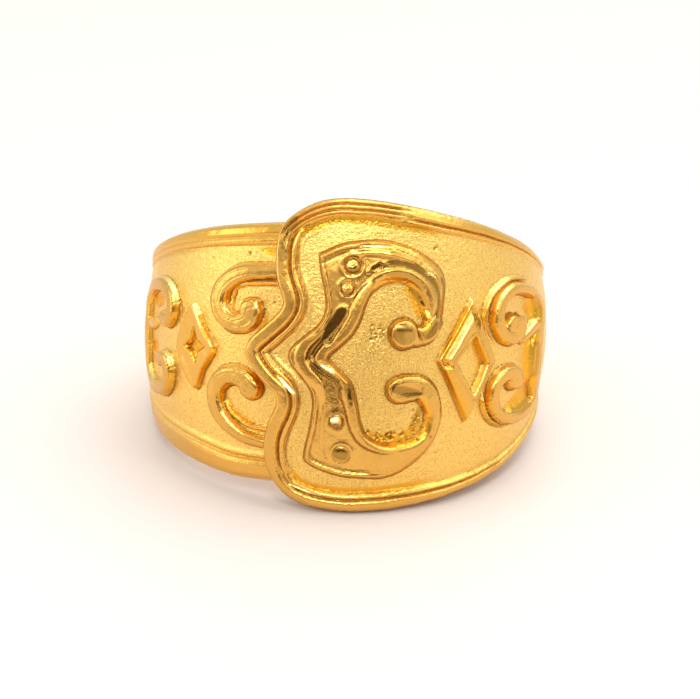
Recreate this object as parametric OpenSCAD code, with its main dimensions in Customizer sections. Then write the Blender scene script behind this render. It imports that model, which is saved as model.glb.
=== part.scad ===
// Dome ring: a wide gold band, cast in one piece, whose right end laps over its left end at the front.
// The lapping end has a bracket-shaped edge. Double mouldings run along every edge, and scrolls,
// lozenges and beads stand up from the plain ground between them.
//
// The ring lies on its side as it comes to rest: on the front of its lower edge and on its narrow
// back. Front is -Y, right is +X, up is +Z, and the origin is on the surface, in the middle of the
// ring's footprint.
//
// Places on the skin are written [u, s]: u is the length round the band from the middle of the
// front, positive to the right, and s is the height along the finger axis, positive upward.

/* [Band] */
// Inside diameter, where the finger goes
finger_d = 17.3; // [16:0.1:18]
// Outside diameter at the middle of the plain ground
band_d = 20.0; // [19.6:0.1:21]
// Width of the lapping end at the front
lap_front_w = 14.1; // [13:0.1:15]
// Width of the end that it covers, at the front
under_front_w = 12.1; // [11:0.1:13]
// Width of the band at its two sides
side_w = 7.0; // [6:0.1:8]
// Width of the band at the back
back_w = 4.1; // [3:0.1:6]
// Fall of the domed ground from the middle of the front to 7 mm above or below it
dome_drop = 0.78; // [0:0.02:1]
// Height of the lapping end above the end that it covers
lap_step = 0.57; // [0.4:0.01:0.7]
// Backward lean of the ring as it rests
lean = 14.5; // [10:0.1:18]
// Lean of the ring to its right as it rests
side_lean = 0.8; // [0:0.1:2]

/* [Mouldings] */
// Height of the outer roll along the edges
roll_h = 0.26; // [0.1:0.02:0.4]
// Half the width of the outer roll on the lapping end
lap_roll_hw = 0.27; // [0.2:0.01:0.35]
// Half the width of the outer roll on the covered end
under_roll_hw = 0.42; // [0.3:0.01:0.5]
// Height of the thin inner moulding
bead_line_h = 0.2; // [0.1:0.02:0.3]
// Half the width of the thin inner moulding
bead_line_hw = 0.2; // [0.12:0.01:0.3]

/* [Ornament] */
// Height of the scrolls and lozenges above the ground
relief_h = 0.42; // [0.2:0.02:0.5]
// Half the width of a scroll's arm
arm_hw = 0.39; // [0.3:0.01:0.45]
// Half the width of the outer ridge of the bracket-shaped panel
panel_outer_hw = 0.34; // [0.25:0.01:0.4]
// Half the width of its inner ridge
panel_inner_hw = 0.27; // [0.2:0.01:0.32]
// Diameter of the large beads in the bracket-shaped panel
big_bead_d = 0.86; // [0.6:0.02:1]
// Diameter of the small beads in the panel
small_bead_d = 0.68; // [0.5:0.02:0.8]

/* [Hidden] */

finger_r = finger_d / 2;
band_r = band_d / 2;
deg_per_mm = 180 / (PI * band_r);
dome_k = dome_drop / 49;
// The lapping end is struck from a centre nearer the front, so that it sinks into the band
// at the right side.
lap_r = band_r + 0.05;
skin_fn = 68;
// The rough hollow, which the true finger hole clears
rough_hollow_r = finger_r - 0.25;

// How the width tapers with distance from the front: straight share of the taper to each side
under_taper = 3.26;
lap_taper = 2.3;

// Edge of the lapping end, from the top of the front round the bracket to the bottom
// columns: u, s
lap_edge = [
  [ 0.00,  7.05],
  [-1.00,  6.93],
  [-1.90,  6.52],
  [-2.60,  5.90],
  [-2.95,  5.10],
  [-2.98,  4.20],
  [-2.76,  3.10],
  [-2.62,  2.40],
  [-3.00,  1.88],
  [-3.75,  1.12],
  [-4.32,  0.18],
  [-3.85, -0.74],
  [-3.10, -1.50],
  [-2.78, -2.10],
  [-3.05, -2.85],
  [-3.36, -3.80],
  [-3.40, -4.60],
  [-3.10, -5.45],
  [-2.45, -6.25],
  [-1.50, -6.80],
  [ 0.00, -7.05],
];

// Outer ridge of the bracket-shaped panel, from the upper curl round the spine to the lower curl
// columns: u, s
panel_outer = [
  [ 2.80,  0.92],
  [ 3.50,  1.02],
  [ 3.90,  1.55],
  [ 4.06,  2.30],
  [ 4.12,  3.15],
  [ 3.85,  4.05],
  [ 3.05,  4.72],
  [ 2.05,  5.06],
  [ 0.85,  5.12],
  [-0.25,  4.93],
  [-1.02,  4.58],
  [-0.98,  4.05],
  [-0.78,  3.20],
  [-0.63,  2.40],
  [-0.95,  1.58],
  [-1.62,  0.86],
  [-2.13,  0.10],
  [-1.66, -0.66],
  [-1.12, -1.40],
  [-1.12, -2.40],
  [-1.28, -3.50],
  [-1.46, -4.45],
  [-0.70, -4.92],
  [ 0.80, -5.20],
  [ 2.10, -5.06],
  [ 3.10, -4.48],
  [ 3.85, -3.60],
  [ 4.10, -2.60],
  [ 3.95, -1.65],
  [ 3.40, -0.95],
  [ 2.60, -0.80],
];

// Inner ridge of the panel, along the open ground inside the curls
// columns: u, s
panel_inner = [
  [ 3.62,  1.90],
  [ 3.38,  2.70],
  [ 2.95,  3.40],
  [ 2.25,  3.76],
  [ 1.45,  3.68],
  [ 0.82,  3.15],
  [ 0.47,  2.45],
  [ 0.25,  1.60],
  [-0.28,  0.95],
  [-1.22,  0.04],
  [-0.35, -0.86],
  [ 0.12, -1.45],
  [ 0.32, -2.45],
  [ 0.62, -3.30],
  [ 1.10, -3.92],
  [ 2.05, -4.02],
  [ 2.95, -3.86],
  [ 3.62, -3.30],
  [ 3.78, -2.50],
  [ 3.45, -1.75],
  [ 2.80, -1.40],
];

// Scrolls. The arm leaves the spiral at its top or bottom and runs level to the far end.
// columns: u and s of the spiral's centre, radius along u, radius along s,
//          way that the arm runs (+1 right, -1 left), length of the arm, on the lapping end (1) or not (0)
scrolls = [
  [ -5.25,  2.40, 1.22, 1.38,  1, 2.6, 0],
  [ -5.25, -2.40, 1.25, 1.45,  1, 2.6, 0],
  [-10.40,  1.72, 1.30, 1.05, -1, 2.4, 0],
  [-10.40, -1.72, 1.30, 1.05, -1, 2.4, 0],
  [  9.05,  2.00, 1.42, 1.20,  1, 2.4, 1],
  [  9.05, -2.00, 1.42, 1.20,  1, 2.4, 1],
];

// Spine that joins the arms of a far pair of scrolls, like the back of a figure 3
// columns: u from the spiral's centre, s
spine = [
  [ 2.40,  2.90],
  [ 3.20,  2.84],
  [ 3.70,  2.35],
  [ 3.50,  1.45],
  [ 2.85,  0.40],
  [ 2.85, -0.40],
  [ 3.50, -1.45],
  [ 3.70, -2.35],
  [ 3.20, -2.84],
  [ 2.40, -2.90],
];

// Lozenges
// columns: u and s of the centre, half width, half height, half width of the frame, on the lapping end
lozenges = [
  [-7.65,  0.00, 1.38, 2.00, 0.40, 0],
  [ 5.60, -0.05, 1.60, 2.85, 0.36, 1],
];

// Beads in the panel
// columns: u, s, diameter
beads = [
  [ 0.21,  4.30, big_bead_d],
  [ 0.03,  3.25, small_bead_d],
  [-0.28, -2.80, small_bead_d],
  [-0.03, -4.25, big_bead_d],
];

// Half-round section of a ridge: share of the half width, share of the height (or of the root below)
ridge_section = [[-1, -1], [-0.8, 0.65], [0, 1], [0.8, 0.65], [1, -1]];
ridge_root = 0.5;

// Half the width of the band at an angle from the front
function half_width(angle, lap) =
  let (
    c = cos(angle),
    front = (lap ? lap_front_w : under_front_w) / 2,
    taper = lap || c < 0 ? lap_taper : under_taper,
    bow = c > 0 ? front - side_w / 2 - taper : (back_w - side_w) / 2 + taper
  )
  side_w / 2 + taper * c + bow * c * c;

// Radius of the ground at an angle and a height
function skin_r(angle, s, lap) =
  (lap ? lap_step * cos(angle) + sqrt(lap_r * lap_r - pow(lap_step * sin(angle), 2)) : band_r)
  - dome_k * s * s;

// The point at height h above the ground at [u, s]
function on_skin(u, s, h, lap) =
  let (angle = u * deg_per_mm, r = skin_r(angle, s, lap) + h)
  [r * sin(angle), -r * cos(angle), s];

// One point of a smooth curve between b and c, with its neighbours a and d
function curve_point(a, b, c, d, t) =
  0.5 * (2 * b + (c - a) * t + (2 * a - 5 * b + 4 * c - d) * t * t + (3 * b - a - 3 * c + d) * t * t * t);

// A smooth curve through rows of a table, with n steps from each row to the next
function through(rows, n) =
  let (last = len(rows) - 1)
  concat(
    [for (i = [0:last - 1], k = [0:n - 1])
      curve_point(rows[max(i - 1, 0)], rows[i], rows[i + 1], rows[min(i + 2, last)], k / n)],
    [rows[last]]
  );

// Unit normal on the left of the way from a to b
function left_of(a, b) =
  let (d = b - a)
  [-d[1], d[0]] / norm(d);

// Mitre vector at point i of a path, one unit wide on each side
function mitre(path, i, closed) =
  let (
    n = len(path),
    before = closed ? path[(i + n - 1) % n] : path[max(i - 1, 0)],
    after = closed ? path[(i + 1) % n] : path[min(i + 1, n - 1)],
    here = path[i],
    first = before == here ? left_of(here, after) : left_of(before, here),
    second = after == here ? first : left_of(here, after)
  )
  (first + second) / (1 + first * second);

// A path moved sideways, to its left, by a distance
function beside(path, distance, closed = false) =
  [for (i = [0:len(path) - 1]) path[i] + distance * mitre(path, i, closed)];

// The edge of the band from u = start to u = finish
function rim_path(start, finish, top, lap, steps) =
  [for (i = [0:steps])
    let (u = start + (finish - start) * i / steps)
    [u, top * half_width(u * deg_per_mm, lap)]];

// Centre line of a scroll's arm, from the far end of the arm into the curl
function scroll_path(row) =
  let (up = sign(row[1]), way = row[4], steps = 12)
  concat(
    [for (k = [1, 0.66, 0.33]) [row[0] + way * row[5] * k, row[1] + up * row[3] * (1 - 0.03 * k)]],
    [for (i = [0:steps])
      let (turn = 90 + 250 * i / steps, f = 1 - 0.32 * i / steps)
      [row[0] + way * row[2] * f * cos(turn), row[1] + up * row[3] * f * sin(turn)]]
  );

function lozenge_path(row, inset) =
  let (w = row[2] - inset, h = row[3] - inset * row[3] / row[2])
  [for (corner = [[w, 0], [0, h], [-w, 0], [0, -h]]) [row[0] + corner[0], row[1] + corner[1]]];

// A ridge of half-round section along a path on the skin. A ridge with a fade sinks away over
// that many points at its last end.
module ridge(path, half_w, height, lap, closed = false, fade = 0) {
  n = len(path);
  m = len(ridge_section);
  points = [for (i = [0:n - 1])
    let (
      side = mitre(path, i, closed),
      left_in = n - 1 - i,
      rise = left_in < fade ? height * (left_in / fade * 1.25 - 0.25) : height
    )
    for (q = ridge_section)
      let (p = path[i] + side * q[0] * half_w, h = q[1] < 0 ? -ridge_root : q[1] * rise)
      on_skin(p[0], p[1], h, lap)];
  spans = closed ? n : n - 1;
  sides = [for (i = [0:spans - 1], j = [0:m - 1])
    let (a = i * m + j, b = i * m + (j + 1) % m, c = (i + 1) % n * m + (j + 1) % m, d = (i + 1) % n * m + j)
    each [[a, b, c], [a, c, d]]];
  caps = closed ? [] : [for (j = [1:m - 2])
    each [[0, j + 1, j], [(n - 1) * m, (n - 1) * m + j, (n - 1) * m + j + 1]]];
  polyhedron(points = points, faces = concat(sides, caps));
}

// A low round boss or bead that stands on the skin
module boss(u, s, d, height, lap) {
  angle = u * deg_per_mm;
  rotate([0, 0, angle])
    translate([0, -skin_r(angle, s, lap), s])
      scale([d / 2, height, d / 2])
        sphere(r = 1, $fn = 16);
}

// The domed barrel that the band is cut from
module barrel(r, forward) {
  translate([0, -forward, 0])
    rotate_extrude($fn = skin_fn)
      polygon(concat([[0, -9]], [for (z = [-8:2:8]) [r - dome_k * z * z, z]], [[0, 9]]));
}

// Everything between the two tapering edges, to the right of the middle
module between_edges(lap) {
  reach = lap ? lap_r + lap_step : band_r;
  edge = [for (c = [1.2:-0.1:-1.2])
    [-c * (c > 0 ? reach : band_r), half_width(acos(min(max(c, -1), 1)), lap)]];
  rotate([90, 0, 90])
    linear_extrude(height = band_d)
      polygon(concat(edge, [for (i = [len(edge) - 1:-1:0]) [edge[i][0], -edge[i][1]]]));
}

// The covered end, the back and the ground beneath the lap
module under_band() {
  intersection() {
    barrel(band_r, 0);
    union() {
      between_edges(true);
      mirror([1, 0, 0])
        between_edges(false);
    }
  }
}

// The lapping end, from its bracket edge to where it sinks into the right side
module lapping_end() {
  edge = through(lap_edge, 2);
  outline = concat(
    [for (p = edge) let (q = on_skin(p[0], p[1], 0, true)) [q[0], q[2]]],
    [[band_d, -9], [band_d, 9]]
  );
  intersection() {
    barrel(lap_r, lap_step);
    translate([-band_d / 2, 0, 0])
      between_edges(true);
    rotate([90, 0, 0])
      linear_extrude(height = band_d)
        polygon(outline);
  }
}

// Roll and thin line along the whole border of the lapping end
module lap_mouldings() {
  border = concat(
    rim_path(22, 1.1, 1, true, 16),
    through(lap_edge, 2),
    rim_path(1.1, 22, -1, true, 16)
  );
  ridge(beside(border, lap_roll_hw - 0.05), lap_roll_hw, roll_h, true);
  ridge(beside(border, 0.76), bead_line_hw, bead_line_h, true);
}

// Roll and thin line along both edges of the covered end
module under_mouldings() {
  for (top = [-1, 1]) {
    border = rim_path(-0.5, -22, top, false, 18);
    ridge(beside(border, top * (under_roll_hw - 0.06)), under_roll_hw, roll_h, false, fade = 6);
    ridge(beside(border, top * 1.1), bead_line_hw, bead_line_h, false, fade = 7);
  }
}

// The bracket-shaped panel: two ridges, a curl at each end and the beads between them
module panel() {
  ridge(beside(through(panel_outer, 2), 0.12), panel_outer_hw, relief_h, true);
  ridge(through(panel_inner, 2), panel_inner_hw, relief_h, true);
  boss(2.5, 1.2, 1.25, relief_h, true);
  boss(2.35, -1.42, 1.15, relief_h, true);
  for (b = beads)
    boss(b[0], b[1], b[2], relief_h, true);
}

module scroll(row) {
  path = scroll_path(row);
  curl = path[len(path) - 1];
  ridge(path, arm_hw, relief_h, row[6] == 1);
  boss(curl[0], curl[1], 1.3, relief_h, row[6] == 1);
}

// Spine of the pair that a scroll's row belongs to
module scroll_spine(row) {
  at_side = abs(row[1]) + row[3];
  path = [for (p = through(spine, 2)) [row[0] + row[4] * p[0], p[1] * (at_side - 0.03) / spine[0][1]]];
  ridge(path, arm_hw, relief_h, row[6] == 1);
}

module lozenge(row) {
  lap = row[5] == 1;
  ridge(lozenge_path(row, row[4]), row[4], relief_h, lap, closed = true);
  if (lap)
    ridge(lozenge_path(row, 2 * row[4]), row[4] * 0.8, relief_h * 0.8, lap, closed = true);
}

// The casting before the finger hole is finished, brought to its full width along the finger
module casting() {
  resize([0, 0, lap_front_w])
    difference() {
      union() {
        under_band();
        lapping_end();
        lap_mouldings();
        under_mouldings();
        panel();
        for (row = scrolls)
          scroll(row);
        for (row = [scrolls[2], scrolls[4]])
          scroll_spine(row);
        for (row = lozenges)
          lozenge(row);
      }
      cylinder(r = rough_hollow_r, h = 30, center = true, $fn = skin_fn);
    }
}

// Place of the middle of the finger hole: its height, with the lower edge of the front on the
// surface, and its distance from the middle of the ring's footprint
rest_h = lap_front_w / 2 * cos(lean) - (band_r - dome_drop + 0.1) * sin(lean);
footprint_x = 0.04;
footprint_y = 0.71;

module ring() {
  color("gold")
    translate([footprint_x, footprint_y, rest_h])
      rotate([-lean, side_lean, 0])
        difference() {
          casting();
          cylinder(r = finger_r, h = 30, center = true, $fn = skin_fn);
        }
}

ring();
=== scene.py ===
"""Looks for the dome ring: one gold casting whose right end laps over its left end.

The surface is a height above a domed band. A place on the band is (u, s) in millimetres: u runs
round the band from the middle of the front, positive to the right, and s along the finger axis.
Ridges, curls, lozenges and beads are distances to smooth curves through short tables, which curve
and curves read in hundredths of a millimetre.

Marks from 0 to 1 paint light and shade into the gold's colour: a painted orange reflection of the
gold in itself in hollows, painted shade with a smoother polish where the surface mirrors the dim
front or is rubbed flat, a painted highlight where it faces the light, and painted shade in creases.
"""

import math

import bpy
import numpy as np
from mathutils import Matrix, Vector


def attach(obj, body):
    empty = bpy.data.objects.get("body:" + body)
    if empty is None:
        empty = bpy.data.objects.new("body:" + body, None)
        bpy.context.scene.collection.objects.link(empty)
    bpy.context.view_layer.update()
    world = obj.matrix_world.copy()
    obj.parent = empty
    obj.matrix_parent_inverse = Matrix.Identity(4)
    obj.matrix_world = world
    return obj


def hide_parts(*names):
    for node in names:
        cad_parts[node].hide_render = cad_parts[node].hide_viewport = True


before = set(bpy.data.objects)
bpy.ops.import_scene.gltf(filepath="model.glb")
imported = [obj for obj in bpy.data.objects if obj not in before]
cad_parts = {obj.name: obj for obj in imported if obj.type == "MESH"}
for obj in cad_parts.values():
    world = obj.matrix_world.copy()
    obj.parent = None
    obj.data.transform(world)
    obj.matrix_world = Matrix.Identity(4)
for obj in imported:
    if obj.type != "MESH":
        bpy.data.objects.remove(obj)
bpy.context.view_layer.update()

MM = 0.001

# The band, in millimetres: the CAD source's sizes, but for 0.02 more in LAP_FRONT_HALF
FINGER_R = 8.65
BAND_R = 10.0
LAP_R = 10.05
LAP_STEP = 0.57
DOME_K = 0.78 / 49
LEAN, SIDE_LEAN = math.radians(14.5), math.radians(0.8)
HOLE_CENTRE = (0.04, 0.71, 4.492)
SIDE_HALF, BACK_HALF = 3.5, 2.05
LAP_FRONT_HALF, UNDER_FRONT_HALF = 7.07, 6.05
LAP_TAPER, UNDER_TAPER = 2.3, 3.26
# What the dome gains at the sides, and how far from the front that starts and is full
SIDE_DOME_K = 0.005
SIDE_START, SIDE_FULL = 5, 11
# A low swelling on the right side of the band: u, s, radius, height
SIDE_SWELL = (13.3, 0.7, 3.2, 0.17)

# The seam where the lapping end meets the band: its column, lower end and upper end
SEAM_C, SEAM_LOW, SEAM_TOP = -3.2, -5.86, 5.93
# The column where the two meet again, at the right side
SIDE_C = 15.9
# How far from the seam the columns of each piece still bend with the bracket edge
LAP_BEND, BAND_BEND = 4.6, 3.4
# Where the vertices of each piece stand. columns: u, spacing on the way to the next row
LAP_COLUMNS = [(SEAM_C, 0.045), (-0.5, 0.05), (7.5, 0.052), (12.0, 0.075), (SIDE_C, 0.1)]
BAND_COLUMNS = [(SIDE_C - 2 * math.pi * BAND_R, 0.42), (-18.0, 0.2), (-15.0, 0.08), (-12.5, 0.052),
                (-7.0, 0.048), (SEAM_C, 0.1)]
# Rows of the skin, and how strongly they crowd toward both edges
SKIN_ROWS, ROW_EASE = 236, 0.3
# Rows beyond the skin, over the rim and its mouth as shares of the way, and through the bore
RIM_ROWS = (0.1, 0.3, 0.5, 0.7, 0.88)
MOUTH_ROWS = (0.25, 0.6, 1.0)
BORE_ROWS = 14
# Bulge and least slant of the rim, and radius of the hole's rounded mouth
RIM_BULGE, RIM_LEAST, MOUTH_R = 0.05, 0.12, 0.1
# The step down to the covered end: shares of its height, how deep its foot goes, how far it
# leans, how much painted shade darkens its foot, and how far its bore stays behind the band's
STEP_ROWS = np.array([0.0, 0.25, 0.5, 0.75, 0.93])
STEP_ROOT, STEP_LEAN, STEP_SHADE, STEP_GAP = 0.04, 0.05, 0.02, 0.02
# Marks of the surface everywhere but on the skin
OFF_SKIN = {"relief": 0.2, "crease_shade": 0.0, "hollow": 0.0, "polish_and_painted_shade": 0.0, "bright": 0.0}

# Gold of the satin ground and its specks; painted shade on crests, where they mirror the dim front;
# painted orange reflection of the gold in itself; painted shade in creases and on rubbed places;
# and a painted highlight on edges that face the light
GROUND_GOLD, SPECK_GOLD = (0.94, 0.615, 0.16, 1), (0.62, 0.31, 0.06, 1)
CREST_SHADE_GOLD, HOLLOW_REFLECTION_GOLD = (0.76, 0.42, 0.09, 1), (0.88, 0.43, 0.03, 1)
CREASE_SHADE_GOLD, PAINTED_SHADE_GOLD = (0.29, 0.145, 0.03, 1), (0.31, 0.17, 0.035, 1)
PAINTED_HIGHLIGHT_GOLD = (0.98, 0.72, 0.24, 1)
# Roughness of the ground and of the crests, and what creases add and rubbed places lose
GROUND_ROUGH, CREST_ROUGH, CREASE_ROUGH, RUBBED_SMOOTH = 0.31, 0.25, 0.12, 0.12
# Noise in the gold. columns: scale, detail
CLOUDS, SPECKS, COARSE_GRAIN, FINE_GRAIN = (700, 3), (16000, 2), (5000, 3), (12000, 2)
GRAIN_DEPTH = 0.00007

# Wander of the lines of the casting. columns: distance, length of the waves, seed for u, seed for s
WANDER = [(0.007, 1.3, 3, 4), (0.004, 0.28, 5, 6)]
# Unevenness of the surface: its height, its height in hollows, and its kinds
# columns: size of the lumps, seed, number of waves
FINISH_H, HOLLOW_FINISH_H = 0.003, 0.004
GROUND_GRAIN, HOLLOW_GRAIN, BROAD_GRAIN = (0.26, 7, 26), (0.2, 10, 26), (1.5, 9, 14)
CREST_GRAIN, FINE_CREST_GRAIN = (0.6, 8, 22), (0.22, 11, 26)

# What the casting adds to the width at its lower and its upper edge. columns: u, addition
LOWER_TRIM = [
    (-24, 0), (-17, 0.3), (-14, 0.58), (-11, 0.48), (-8, 0.28), (-5.6, 0.2), (-3.4, 0.02), (8.5, 0),
    (10.5, -0.2), (13, -0.44), (17, -0.2), (23, 0),
]
UPPER_TRIM = [(1, 0), (2.5, -0.04), (4.5, -0.09), (7, -0.05), (10, 0)]


def curve(*rows):
    """A curve or a section. Its rows are written in hundredths of a millimetre."""
    return np.array(rows) / 100


def curves(*tables):
    return [curve(*rows) for rows in tables]


# Outline of the lapping end, from the top of the front round the bracket to the bottom
# columns: u, s
LAP_EDGE = curve(
    (0, 716), (-62, 712), (-125, 700), (-184, 676), (-240, 642), (-286, 600), (-308, 554), (-317, 505),
    (-318, 450), (-314, 390), (-300, 330), (-280, 280), (-273, 242), (-284, 212), (-314, 176), (-362, 128),
    (-409, 84), (-434, 44), (-437, 8), (-421, -30), (-384, -82), (-338, -130), (-302, -165), (-292, -202),
    (-302, -242), (-324, -290), (-342, -345), (-353, -400), (-353, -455), (-346, -505), (-328, -555),
    (-296, -605), (-246, -650), (-170, -683), (-80, -701), (0, -707),
)

# Sections of mouldings. columns: distance from the edge, height
# On the lapping end, at its top, at its right side, at the bracket and at its bottom
LAP_TOP_MOULDING = curve(
    (0, -6), (4, 12), (8, 21), (13, 24), (18, 20), (22, 10), (27, 18), (32, 25), (38, 26), (43, 19),
    (47, 11), (52, 19), (57, 24), (62, 22), (67, 13), (72, 10), (80, 6), (92, 0), (104, -5), (112, -5),
    (122, 0),
)
LAP_RIGHT_MOULDING = curve(
    (0, -6), (5, 8), (13, 15), (28, 21), (44, 26), (55, 20), (61, 5), (65, 10), (72, 17), (82, 16),
    (90, 7), (95, -1), (104, -2), (116, 0),
)
LAP_BRACKET_MOULDING = curve(
    (0, -8), (4, 12), (10, 24), (18, 28), (36, 28), (53, 27), (62, 20), (68, 5), (72, 4), (76, 18),
    (82, 24), (91, 24), (98, 16), (103, 4), (108, 2), (114, 7), (120, 6), (130, 0),
)
LAP_LOW_MOULDING = curve(
    (0, -10), (5, 8), (13, 20), (24, 25), (44, 24), (55, 14), (61, 2), (65, 12), (70, 24), (78, 22),
    (92, 8), (96, -4), (102, -9), (126, -8), (131, -2), (136, 0),
)
# On the covered end
UNDER_TOP_MOULDING = curve(
    (0, -8), (4, 6), (11, 16), (20, 20), (46, 21), (57, 16), (62, 9), (67, 12), (76, 15), (88, 13),
    (96, 6), (100, -3), (108, -3), (125, 0),
)
UNDER_LOW_MOULDING = curve(
    (0, -10), (6, 6), (15, 17), (30, 23), (74, 23), (94, 16), (103, 1), (108, 2), (116, 11), (126, 10),
    (140, 1), (155, 0),
)
# Points that a section is read at, and how many of them its blur spans
SECTION_POINTS, SECTION_BLUR = 240, 9

# Contour of the bracket-shaped panel: over its upper arm, round its lower arm and up its spine
# columns: u, s
PANEL_OVER = curve(
    (-125, 468), (-80, 490), (-30, 511), (30, 526), (100, 534), (170, 533), (235, 520), (300, 494),
    (360, 460), (404, 422), (430, 380), (437, 330), (427, 275), (422, 220), (410, 165), (386, 118),
    (350, 82), (318, 72),
)
PANEL_UNDER = curve(
    (320, -64), (362, -86), (400, -128), (424, -182), (434, -240), (432, -295), (418, -348), (390, -398),
    (350, -445), (300, -488), (240, -524), (170, -542), (85, -543), (0, -534), (-80, -514), (-142, -485),
    (-168, -462),
)
PANEL_SPINE = curve(
    (-168, -462), (-166, -420), (-154, -370), (-143, -320), (-136, -260), (-131, -205), (-133, -160),
    (-153, -118), (-187, -75), (-222, -33), (-236, 10), (-220, 55), (-177, 95), (-130, 138), (-98, 185),
    (-84, 235), (-89, 290), (-102, 345), (-114, 405), (-125, 468),
)
# Inner contour of the panel, round the open ground inside its curls
PANEL_INNER = curve(
    (330, 155), (328, 195), (316, 235), (302, 275), (280, 318), (242, 346), (195, 351), (148, 334),
    (108, 300), (84, 258), (72, 215), (58, 170), (34, 124), (-2, 84), (-40, 48), (-66, 14), (-66, -8),
    (-36, -36), (2, -70), (34, -105), (50, -155), (62, -220), (76, -280), (100, -334), (142, -362),
    (200, -372), (258, -370), (310, -350), (342, -314), (352, -268), (344, -218), (318, -186),
)
# Height of the panel between its ridges
PANEL_FLOOR = 0.17
# The thin ridge along the panel's contour: how far inside it, half width, height
PANEL_EDGE_RIDGE = (0.14, 0.13, 0.13)
# The fine line inside the arms: how far inside the contour, half width, depth
PANEL_LINE = (0.44, 0.04, 0.03)

# Ridges on the panel: two along its spine, two on its upper arm, and a fine one at its lower left
# columns: u, s, half width, height
PANEL_RIDGES = curves(
    [(-86, 162, 12, 2), (-108, 128, 19, 12), (-140, 94, 25, 19), (-170, 56, 28, 21), (-184, 12, 28, 21),
     (-172, -30, 28, 21), (-140, -72, 28, 20), (-108, -112, 26, 16), (-96, -160, 20, 9),
     (-96, -215, 12, 1)],
    [(112, 352, 16, 4), (74, 306, 24, 14), (46, 248, 29, 20), (24, 184, 32, 23), (-4, 130, 33, 24),
     (-48, 80, 32, 24), (-88, 38, 30, 24), (-98, 2, 28, 24), (-60, -44, 25, 24), (-10, -94, 26, 24),
     (14, -152, 27, 24), (32, -228, 25, 23), (50, -300, 24, 23), (86, -362, 23, 22), (145, -394, 21, 18),
     (220, -400, 16, 6)],
    [(92, 350, 12, 2), (140, 380, 20, 8), (200, 392, 23, 11), (264, 380, 23, 11), (316, 344, 21, 10),
     (346, 292, 19, 9), (356, 236, 16, 7), (352, 194, 10, 2)],
    [(20, 476, 14, 4), (70, 486, 20, 12), (130, 488, 22, 15), (200, 480, 22, 13), (260, 460, 18, 6),
     (300, 442, 12, 1)],
    [(-84, -190, 7, 2), (-86, -260, 8, 6), (-88, -340, 8, 6), (-86, -410, 7, 5), (-70, -460, 6, 2)],
)
# Its arms roll over into an upper and a lower curl
PANEL_CURLS = curves(
    [(380, 174, 40, 38), (352, 126, 42, 37), (308, 112, 44, 36), (266, 112, 50, 36), (236, 122, 56, 36)],
    [(384, -210, 40, 40), (368, -160, 44, 40), (328, -126, 54, 40), (280, -120, 62, 40),
     (236, -130, 62, 39)],
)
# Dents: the lower curl is slightly hollow, and a crease parts the upper knob from its arm
# columns: u, s, reach along u, reach along s, skew, depth
PANEL_DENTS = [(2.62, -1.36, 0.5, 0.26, 0, 0.1), (3.1, 1.2, 0.07, 0.3, 0.3, 0.14)]

# Places on the lapping end painted with shade: rubbed flat, partly levelled, and not levelled at all
# columns: u, s, half width
RUBBED_SHADED = curves(
    [(-16, 218, 29), (-46, 162, 31), (-76, 102, 29)],
    [(-100, 80, 9), (-124, 42, 11), (-140, 12, 8)],
    [(-136, 0, 10), (-110, -30, 13), (-66, -62, 13), (-28, -88, 9)],
    [(16, -100, 7), (24, -134, 11), (32, -180, 8)],
    [(-28, -86, 5), (-22, -120, 7), (-14, -170, 5)],
)
WORN_SHADED = curves(
    [(86, 396, 8), (120, 418, 17), (160, 434, 10), (224, 440, 12), (292, 416, 14), (342, 380, 12),
     (380, 326, 10), (392, 260, 9), (384, 200, 8)],
    [(-266, 570, 10), (-278, 524, 16), (-280, 486, 8)],
    [(274, 320, 8), (302, 296, 13), (324, 260, 8)],
    [(408, 370, 6), (422, 320, 11), (418, 260, 13), (410, 200, 11), (396, 150, 6)],
    [(214, 144, 6), (240, 145, 10), (268, 142, 6)],
    [(210, -120, 16), (256, -134, 24), (304, -142, 18)],
    [(10, 406, 12), (24, 412, 16), (36, 406, 10)],
    [(-6, 298, 10), (4, 300, 14)],
    [(-28, -298, 20), (-22, -302, 20)],
    [(-16, -422, 30), (2, -426, 30)],
    [(344, 110, 12), (366, 134, 16), (384, 172, 10)],
)
SHADED_ONLY = curves(
    [(170, 392, 14), (224, 386, 22), (280, 364, 22), (314, 330, 14)],
    [(180, 494, 10), (220, 484, 16), (266, 466, 17), (310, 440, 12)],
    [(260, 426, 10), (300, 406, 16), (340, 376, 14)],
    [(332, -214, 10), (322, -260, 16), (298, -304, 12)],
    [(-62, -106, 16), (-44, -150, 22), (-36, -200, 20), (-34, -236, 12)],
    [(-240, 610, 20), (-274, 540, 28), (-280, 450, 22)],
)
# How strongly each kind is painted with shade, and how far it is levelled
WEAR_AND_SHADE = [(RUBBED_SHADED, 1.0, 0.8), (WORN_SHADED, 0.8, 0.25), (SHADED_ONLY, 0.46, 0.0)]

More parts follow.
